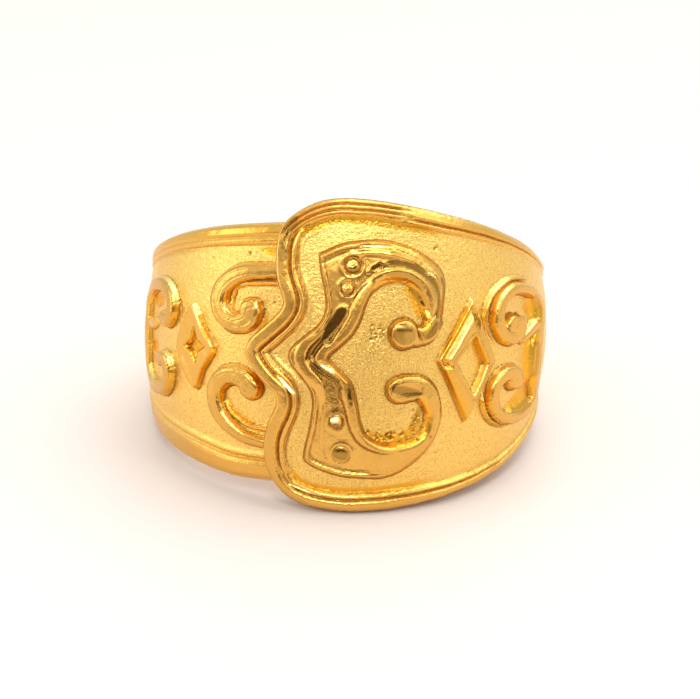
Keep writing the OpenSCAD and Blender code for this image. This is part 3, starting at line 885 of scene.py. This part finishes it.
def lap_relief(u, s):
    """Relief of the lapping end and the right side."""
    sheet = Sheet(u, s)
    lap_border(sheet, u, s)
    each(sheet.channel, LAP_HOLLOWS)
    each(sheet.slope, SLOPES)
    before = sheet.h.copy()
    panel(sheet)
    wear_and_painted_light(sheet)
    sheet.darken_walls(before, 0.6)
    before = sheet.h.copy()
    right_lozenge(sheet)
    each(sheet.ridge, RIGHT_SCROLLS)
    sheet.mark_walls(before)
    each(sheet.amber, LAP_AMBER)
    each(sheet.knob, RIGHT_KNOBS, power=4)
    each(sheet.pit, LAP_PITS)
    rough_patches(sheet)
    return sheet.finish()


def left_border(sheet, u, s):
    """Mouldings of the covered end and of the back, with painted orange reflection and painted shade
    on the top roll.
    """
    low, high = rim(u, False)
    away = wrapped(u)
    for edge, rows, narrow in (
            (high - s, UNDER_TOP_MOULDING, 1 - 0.25 * rise(-away, 3, 11)),
            (s - low, UNDER_LOW_MOULDING, 1 + 0.22 * rise(-away, 4, 6))):
        moulding = flush_at_side(section(rows, np.clip(edge / narrow, 0, 9)), edge, u)
        sheet.h = np.where(edge < 1.8, moulding, sheet.h)
    top_roll = fall(high - s, 0.8, 0.2) * (away < -3)
    sheet.hollow, sheet.polish_and_painted_shade = 0.3 * top_roll, 0.12 * top_roll
    return np.minimum(high - s, s - low), away


def left_lozenge(sheet):
    """The smaller lozenge. Gives its places, and how far inside its sunk star they are."""
    outline = through(LEFT_LOZENGE, 3, closed=True)
    where = sheet.near(outline, 0.1)
    d_in = sheet.inside(outline, where)
    star = sheet.inside(through(LEFT_STAR, 2, closed=True), where)
    frame_h = 0.34 * np.clip(d_in / 0.11, 0, 1) ** 0.5 - 0.04 * rise(d_in, 0.2, 0.3)
    frame_h -= 0.3 * rise(star, -0.06, 0.16)
    sheet.raise_to(where, np.where(d_in > 0, frame_h, -1.0), 0.02)
    return where, star


def left_relief(u, s):
    """Relief of the covered end, the left side and the back."""
    sheet = Sheet(u, s)
    d, away = left_border(sheet, u, s)
    each(sheet.channel, LEFT_HOLLOWS)
    sheet.h = np.where(away > 0, flush_at_side(lap_moulding(d, s, away), d, u), sheet.h)
    before = sheet.h.copy()
    each(sheet.ridge, LEFT_SCROLLS)
    each(sheet.knob, LEFT_KNOBS, power=3.5)
    each(sheet.facet, FACETS, BRIGHT_LEAN, sheet.bright)
    where, star = left_lozenge(sheet)
    sheet.mark_walls(before)
    each(sheet.amber, LEFT_AMBER)
    # Painted shade on the tops of the tallest relief
    sheet.polish_and_painted_shade = np.maximum(sheet.polish_and_painted_shade, 0.15 * rise(sheet.h, 0.28, 0.08))
    # The sunk star gets no painted highlight, but painted orange reflection and painted shade
    in_star = rise(star, -0.1, 0.06)
    sheet.bright[where] *= 1 - in_star
    at_least(sheet.hollow, where, in_star)
    sheet.polish_and_painted_shade[where] = 0.25 * in_star
    each(sheet.pit, LEFT_PITS)
    return sheet.finish()


def spaced(stops):
    """Values from stop to stop. columns of stops: value, spacing on the way to the next stop."""
    out = []
    for (a, step), (b, _) in zip(stops, stops[1:]):
        n = max(1, int(round(abs(b - a) / step)))
        out += [a + (b - a) * k / n for k in range(n)]
    return np.array(out + [stops[-1][0]])


def row_shares(count, ease):
    """Shares of the width from the lower to the upper edge, closer together near both edges."""
    t = np.linspace(0, 1, count)
    return t - ease * np.sin(2 * math.pi * t) / (2 * math.pi)


def with_step(u, s, r, marks):
    """The skin, and before its first column the step down to the covered end."""
    foot = skin(u[:, :1], s[:, :1], False) - STEP_ROOT
    r = np.hstack([foot + (r[:, :1] - foot) * STEP_ROWS, r])
    u = np.hstack([u[:, :1] - STEP_LEAN * (1 - STEP_ROWS) ** 2, u])
    s = np.hstack([np.repeat(s[:, :1], len(STEP_ROWS), 1), s])
    # Painted shade at the foot of the step
    for mark, value in dict(OFF_SKIN, crease_shade=STEP_SHADE * (1 - STEP_ROWS)).items():
        marks[mark] = np.hstack([np.broadcast_to(value, (len(u), len(STEP_ROWS))), marks[mark]])
    return u, s, r


def rim_rows(u, s, r, s_in, bore, way):
    """Rows from the skin's edge into the finger hole. way is 1 at the upper rim, -1 at the lower."""
    return ([(u, s + (s_in - s) * t + way * RIM_BULGE * math.sin(math.pi * t), r + (bore - r) * t)
             for t in RIM_ROWS]
            + [(u, s_in - way * MOUTH_R * t, bore + MOUTH_R * (1 - t) ** 2) for t in MOUTH_ROWS])


def behind_skin(u, s, r, bore, lap):
    """The rest of each loop, as rows of u, s and r: upper rim, finger hole and lower rim."""
    inner = half_width_at(np.cos(u[-1] / BAND_R) * FINGER_R / skin(u[-1], 0, lap), lap)
    top_in = np.minimum(inner, s[-1] - RIM_LEAST)
    low_in = np.maximum(-inner, s[0] + RIM_LEAST)
    rows = rim_rows(u[-1], s[-1], r[-1], top_in, bore, 1)
    for k in range(1, BORE_ROWS):
        t = k / BORE_ROWS
        rows.append((u[-1] + (u[0] - u[-1]) * t,
                     top_in - MOUTH_R + (low_in - top_in + 2 * MOUTH_R) * t, bore))
    return rows + rim_rows(u[0], s[0], r[0], low_in, bore, -1)[::-1]


def shell(name, column_rows, bend, lap):
    """One closed shell of the ring between two columns: its skin, both rims and the finger hole."""
    columns, shares = spaced(column_rows)[None, :], row_shares(SKIN_ROWS, ROW_EASE)[:, None]
    at_seam = bracket_u(SEAM_LOW + shares * (SEAM_TOP - SEAM_LOW))
    u = columns + (at_seam - SEAM_C) * fall(np.abs(columns - SEAM_C), 0, bend)
    low, high = rim(u[:1], lap)[0], rim(u[-1:], lap)[1]
    s = low + shares * (high - low)
    marks = lap_relief(u, s) if lap else left_relief(u, s)
    r = skin(u, s, lap) + marks["relief"]
    bore = np.full(columns.size, FINGER_R)
    if lap:
        u, s, r = with_step(u, s, r, marks)
        bore = np.hstack([FINGER_R + STEP_GAP * (1 - STEP_ROWS) ** 2, bore])
    rows = behind_skin(u, s, r, bore, lap)
    u, s, r = (np.vstack(parts) for parts in zip((u, s, r), np.array(rows).transpose(1, 0, 2)))
    for mark, value in OFF_SKIN.items():
        marks[mark] = np.vstack([marks[mark], np.full((len(rows), len(bore)), value)])
    angle = u / BAND_R
    places = to_frame(np.stack([r * np.sin(angle), -r * np.cos(angle), s], axis=-1))
    return mesh_of_loops(name, places, marks)


def to_frame(places):
    """From the ring's own axes, in millimetres, to the shared frame, in metres."""
    return (places @ np.array(TIP).T + np.array(HOLE_CENTRE)) * MM


def mesh_of_loops(name, places, marks):
    """A closed shell from loops side by side. Its two ends are flat caps inside the metal."""
    rows, cols = places.shape[:2]
    row, col = np.arange(rows)[:, None], np.arange(cols - 1)[None, :]
    here, above = row * cols + col, (row + 1) % rows * cols + col
    faces = np.stack([here, here + 1, above + 1, above], axis=-1).reshape(-1, 4).tolist()
    faces.append([k * cols for k in range(rows)])
    faces.append([k * cols + cols - 1 for k in reversed(range(rows))])
    mesh = bpy.data.meshes.new(name)
    mesh.from_pydata(places.reshape(-1, 3).tolist(), [], faces)
    smooth_faces = np.ones(len(faces), bool)
    smooth_faces[-2:] = False
    mesh.polygons.foreach_set("use_smooth", smooth_faces)
    for mark, values in marks.items():
        layer = mesh.attributes.new(mark, "FLOAT", "POINT")
        layer.data.foreach_set("value", values.reshape(-1).astype(np.float32))
    mesh.update()
    # The same normals on both sides of the joint between the two shells
    along = np.gradient(places, axis=1)
    across = np.roll(places, -1, axis=0) - np.roll(places, 1, axis=0)
    normals = np.cross(along, across)
    normals /= np.linalg.norm(normals, axis=-1)[..., None] + 1e-12
    mesh.normals_split_custom_set_from_vertices(normals.reshape(-1, 3).tolist())
    return placed(name, mesh)


def placed(name, data):
    """A new object in the scene."""
    obj = bpy.data.objects.new(name, data)
    bpy.context.scene.collection.objects.link(obj)
    return obj


def feed(tree, node, inputs):
    """Joins a node's inputs to other sockets, or sets them to plain values."""
    for name, value in inputs.items():
        if isinstance(value, bpy.types.NodeSocket):
            tree.links.new(value, node.inputs[name])
        else:
            node.inputs[name].default_value = value


def node_adder(tree):
    """A function that adds a node with these inputs and settings, and gives one of its outputs."""
    def node(kind, output, inputs=None, **settings):
        new = tree.nodes.new("ShaderNode" + kind)
        for name, value in settings.items():
            setattr(new, name, value)
        feed(tree, new, inputs or {})
        return new.outputs[output]
    return node


def new_material(name):
    mat = bpy.data.materials.new(name)
    mat.use_nodes = True
    return mat, mat.node_tree.nodes["Principled BSDF"]


def gold_material():
    """Polished on its crests and satin on its ground, with light and shade painted into its colour:
    shade on the crests, in creases and on rubbed places, the gold's orange reflection of itself, and
    highlights.
    """
    mat, shader = new_material("polished_gold")
    node = node_adder(mat.node_tree)
    place = node("TexCoord", "Object")

    def mark(name):
        return node("Attribute", "Fac", attribute_name=name)

    def noise(scale, detail):
        return node("TexNoise", "Fac", {"Scale": scale, "Detail": detail, "Vector": place})

    def remap(value, a, b, c, d):
        return node("MapRange", "Result",
                    {"From Min": a, "From Max": b, "To Min": c, "To Max": d, "Value": value})

    def maths(operation, a, b):
        return node("Math", "Value", {0: a, 1: b}, operation=operation)

    def mixed(factor, a, b):
        # inputs 6 and 7 and output 2 are those for colours
        return node("Mix", 2, {0: factor, 6: a, 7: b}, data_type="RGBA")

    crest = remap(mark("relief"), 0.05, 0.18, 0, 1)
    crease_shade_mask = remap(mark("crease_shade"), 0.005, 0.024, 0, 1)
    hollow = maths("MULTIPLY", mark("hollow"), remap(mark("relief"), 0.34, 0.42, 0.95, 0.0))
    polish_and_painted_shade = mark("polish_and_painted_shade")
    colour = mixed(remap(noise(*SPECKS), 0.48, 0.64, 0, 0.7), GROUND_GOLD, SPECK_GOLD)
    # Painted shade on crests, painted highlights, painted orange reflection, painted shade on rubbed places
    # and in creases
    colour = mixed(crest, colour, CREST_SHADE_GOLD)
    colour = mixed(mark("bright"), colour, PAINTED_HIGHLIGHT_GOLD)
    colour = mixed(hollow, colour, HOLLOW_REFLECTION_GOLD)
    colour = mixed(polish_and_painted_shade, colour, PAINTED_SHADE_GOLD)
    colour = mixed(maths("MULTIPLY", crease_shade_mask, 0.85), colour, CREASE_SHADE_GOLD)
    cloud = remap(noise(*CLOUDS), 0.3, 0.7, -0.04, 0.06)
    rough = maths("ADD", remap(crest, 0, 1, GROUND_ROUGH, CREST_ROUGH), cloud)
    rough = maths("ADD", rough, maths("MULTIPLY", crease_shade_mask, CREASE_ROUGH))
    rough = maths("SUBTRACT", rough, maths("MULTIPLY", polish_and_painted_shade, RUBBED_SMOOTH))
    coarse, fine = (maths("MULTIPLY", noise(*kind), 0.5) for kind in (COARSE_GRAIN, FINE_GRAIN))
    grain = maths("ADD", coarse, fine)
    normal = node("Bump", "Normal", {
        "Distance": GRAIN_DEPTH, "Strength": remap(crest, 0, 1, 0.9, 0.2), "Height": grain})
    feed(mat.node_tree, shader, {
        "Base Color": colour, "Metallic": 1.0, "Roughness": rough, "Normal": normal})
    return mat


def pale_floor():
    mesh = bpy.data.meshes.new("floor")
    size = FLOOR_HALF
    mesh.from_pydata([(-size, -size, 0), (size, -size, 0), (size, size, 0), (-size, size, 0)], [],
                     [(0, 1, 2, 3)])
    floor = placed("floor", mesh)
    mat, shader = new_material("pale_floor")
    feed(mat.node_tree, shader, {"Base Color": FLOOR_COLOUR, "Roughness": FLOOR_ROUGH})
    mesh.materials.append(mat)


def direction(azimuth, elevation):
    """Unit vector toward a place around the ring: degrees to the right of the front, and up."""
    a, e = math.radians(azimuth), math.radians(elevation)
    return Vector((math.sin(a) * math.cos(e), -math.cos(a) * math.cos(e), math.sin(e)))


def light_tent():
    """A white tent with a dim warm patch in front, where the camera is."""
    world = bpy.data.worlds.new("studio")
    bpy.context.scene.world = world
    world.use_nodes = True
    tree = world.node_tree
    node = node_adder(tree)
    azimuth, elevation, flat = DIM_PATCH
    lift = -flat * math.sin(math.radians(elevation))
    way = node("TexCoord", "Generated")
    way = node("VectorMath", "Vector", {0: way, 1: (1, 1, flat), 2: (0, 0, lift)}, operation="MULTIPLY_ADD")
    way = node("VectorMath", "Vector", {0: way}, operation="NORMALIZE")
    dot = node("VectorMath", "Value", {0: way, 1: direction(azimuth, 0)}, operation="DOT_PRODUCT")
    ramp = tree.nodes.new("ShaderNodeValToRGB")
    stops = ramp.color_ramp.elements
    while len(stops) < len(TENT):
        stops.new(0.5)
    for stop, (degrees, colour) in zip(stops, TENT):
        stop.position = math.cos(math.radians(degrees))
        stop.color = colour + (1,)
    feed(tree, ramp, {"Fac": dot})
    feed(tree, tree.nodes["Background"], {"Strength": TENT_STRENGTH, "Color": ramp.outputs["Color"]})


def softbox(name, azimuth, elevation, distance, size, brightness):
    light = bpy.data.lights.new(name, "AREA")
    light.shape = "RECTANGLE"
    light.size, light.size_y = size
    light.energy = math.pi * size[0] * size[1] * brightness
    toward = direction(azimuth, elevation)
    obj = placed(name, light)
    obj.location = toward * distance
    obj.rotation_mode = "QUATERNION"
    obj.rotation_quaternion = (-toward).to_track_quat("-Z", "Y")


def photo_camera():
    cos_up, sin_up = math.cos(VIEW_UP), math.sin(VIEW_UP)
    cos_lean, sin_lean = math.cos(VIEW_LEAN), math.sin(VIEW_LEAN)
    # Axes of the camera in the ring's own frame
    right = np.array([cos_lean, 0.0, sin_lean])
    up = np.array([-sin_lean * cos_up, sin_up, cos_lean * cos_up])
    back = np.array([-sin_lean * sin_up, -cos_up, cos_lean * sin_up])
    spot = VIEW_OFFSET[0] * right + VIEW_OFFSET[1] * up + VIEW_DISTANCE * back
    cam_data = bpy.data.cameras.new("camera")
    cam_data.sensor_width = SENSOR_MM
    cam_data.lens = LENS_PX / PICTURE_W * cam_data.sensor_width
    cam_data.clip_start, cam_data.clip_end = CLIP_NEAR, CLIP_FAR
    cam = placed("camera", cam_data)
    axes = TIP @ Matrix([right, up, back]).transposed()
    cam.matrix_world = Matrix.Translation(Vector(to_frame(spot[None])[0])) @ axes.to_4x4()
    bpy.context.scene.camera = cam


lapping_end = shell("lapping_end", LAP_COLUMNS, LAP_BEND, True)
band = shell("band", BAND_COLUMNS, BAND_BEND, False)
gold = gold_material()
for piece in (lapping_end, band):
    piece.data.materials.append(gold)
    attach(piece, "root")
    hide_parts("ring")

pale_floor()
light_tent()
for row in SOFTBOXES:
    softbox(*row)
photo_camera()
bpy.context.scene.view_settings.view_transform = "Standard"
